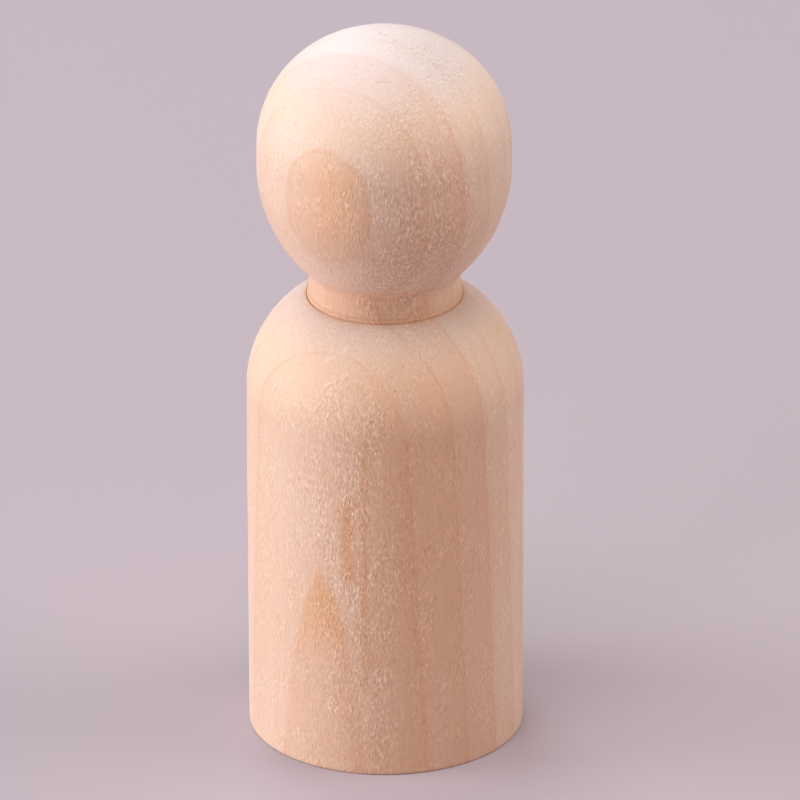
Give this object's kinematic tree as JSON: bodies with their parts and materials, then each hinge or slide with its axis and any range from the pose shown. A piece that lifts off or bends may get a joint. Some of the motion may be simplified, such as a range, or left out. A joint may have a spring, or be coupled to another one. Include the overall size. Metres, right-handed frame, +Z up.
{
  "type": "peg doll",
  "caption": "Plain turned wooden peg doll: ball head with a short neck and a spigot, glued into a straight round body with a domed shoulder and a flat base.",
  "frame": {"origin": "centre of the flat base", "axes": "+Z up along the turning axis, from the base to the crown; -Y towards the side that the picture shows"},
  "size_m": [0.0222, 0.0222, 0.06],
  "materials": {
    "bare_wood": "bare, unpainted and unvarnished, lightly sanded after turning"
  },
  "bodies": {
    "root": {"head": "bare_wood", "body": "bare_wood"}
  },
  "joints": []
}
